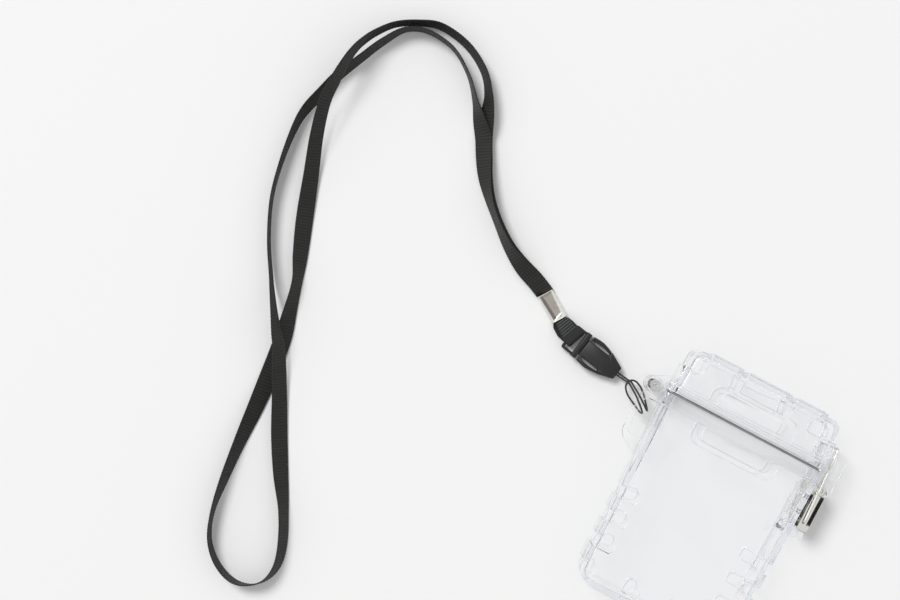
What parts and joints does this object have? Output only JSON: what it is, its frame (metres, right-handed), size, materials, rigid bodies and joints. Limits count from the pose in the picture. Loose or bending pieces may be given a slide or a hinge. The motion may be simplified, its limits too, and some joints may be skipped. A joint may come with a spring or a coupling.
{
  "type": "photocard holder",
  "caption": "Clear hinged case with a sealed lid and a wire draw latch, on a black neck lanyard with a side-release buckle.",
  "frame": {"origin": "centre of the case's back face, which lies on the surface", "axes": "+X towards the latch, +Y towards the lid's end, +Z out of the front face"},
  "size_m": [0.3342, 0.3093, 0.0235],
  "materials": {
    "clear_plastic": "clear and polished",
    "seal_rubber": "matt",
    "latch_steel": "polished",
    "pin_steel": "plain",
    "buckle_plastic": "satin",
    "webbing": "woven",
    "cord": "braided"
  },
  "bodies": {
    "case": {"case_body": "clear_plastic", "seal_ring": "seal_rubber", "hinge_pin": "pin_steel", "hinge_clip_front": "latch_steel", "hinge_clip_back": "latch_steel", "latch_base": "latch_steel", "latch_rivet_upper": "latch_steel", "latch_rivet_lower": "latch_steel", "lever_pin": "latch_steel", "hitch_cord": "cord", "buckle_socket": "buckle_plastic"},
    "lid": {"case_lid": "clear_plastic"},
    "lever": {"latch_lever": "latch_steel"},
    "bail": {"latch_bail": "latch_steel"},
    "squeeze_left": {"squeeze_lever_left": "buckle_plastic"},
    "squeeze_right": {"squeeze_lever_right": "buckle_plastic"},
    "strap": {"buckle_plug": "buckle_plastic", "strap_tab": "webbing", "crimp_sleeve": "latch_steel", "neck_ribbon": "webbing"}
  },
  "joints": [
    {"name": "lid_hinge", "type": "hinge", "parent": "case", "child": "lid", "pos_m": [-0.052, 0.0394, 0.01175], "axis": [0, 0, 1], "range_deg": [0, 90]},
    {"name": "lever_hinge", "type": "hinge", "parent": "case", "child": "lever", "pos_m": [0.049, 0.0309, 0.01175], "axis": [0, 0, 1], "range_deg": [0, 95]},
    {"name": "bail_hinge", "type": "hinge", "parent": "lever", "child": "bail", "pos_m": [0.0487, 0.0127, 0.01175], "axis": [0, 0, 1], "range_deg": [-90, 0]},
    {"name": "squeeze_left", "type": "hinge", "parent": "case", "child": "squeeze_left", "pos_m": [-0.07827, 0.04337, 0.003], "axis": [0, 0, 1], "range_deg": [0, 4], "stiffness_Nm_per_rad": 0.3},
    {"name": "squeeze_right", "type": "hinge", "parent": "case", "child": "squeeze_right", "pos_m": [-0.08061, 0.03089, 0.003], "axis": [0, 0, -1], "range_deg": [0, 4], "stiffness_Nm_per_rad": 0.3},
    {"name": "buckle_release", "type": "slide", "parent": "case", "child": "strap", "axis": [-0.9829, 0.1839, 0], "range_m": [0, 0.02]}
  ],
  "couplings": [
    {"joint": "bail_hinge", "follows": "lever_hinge", "ratio": -0.9}
  ]
}
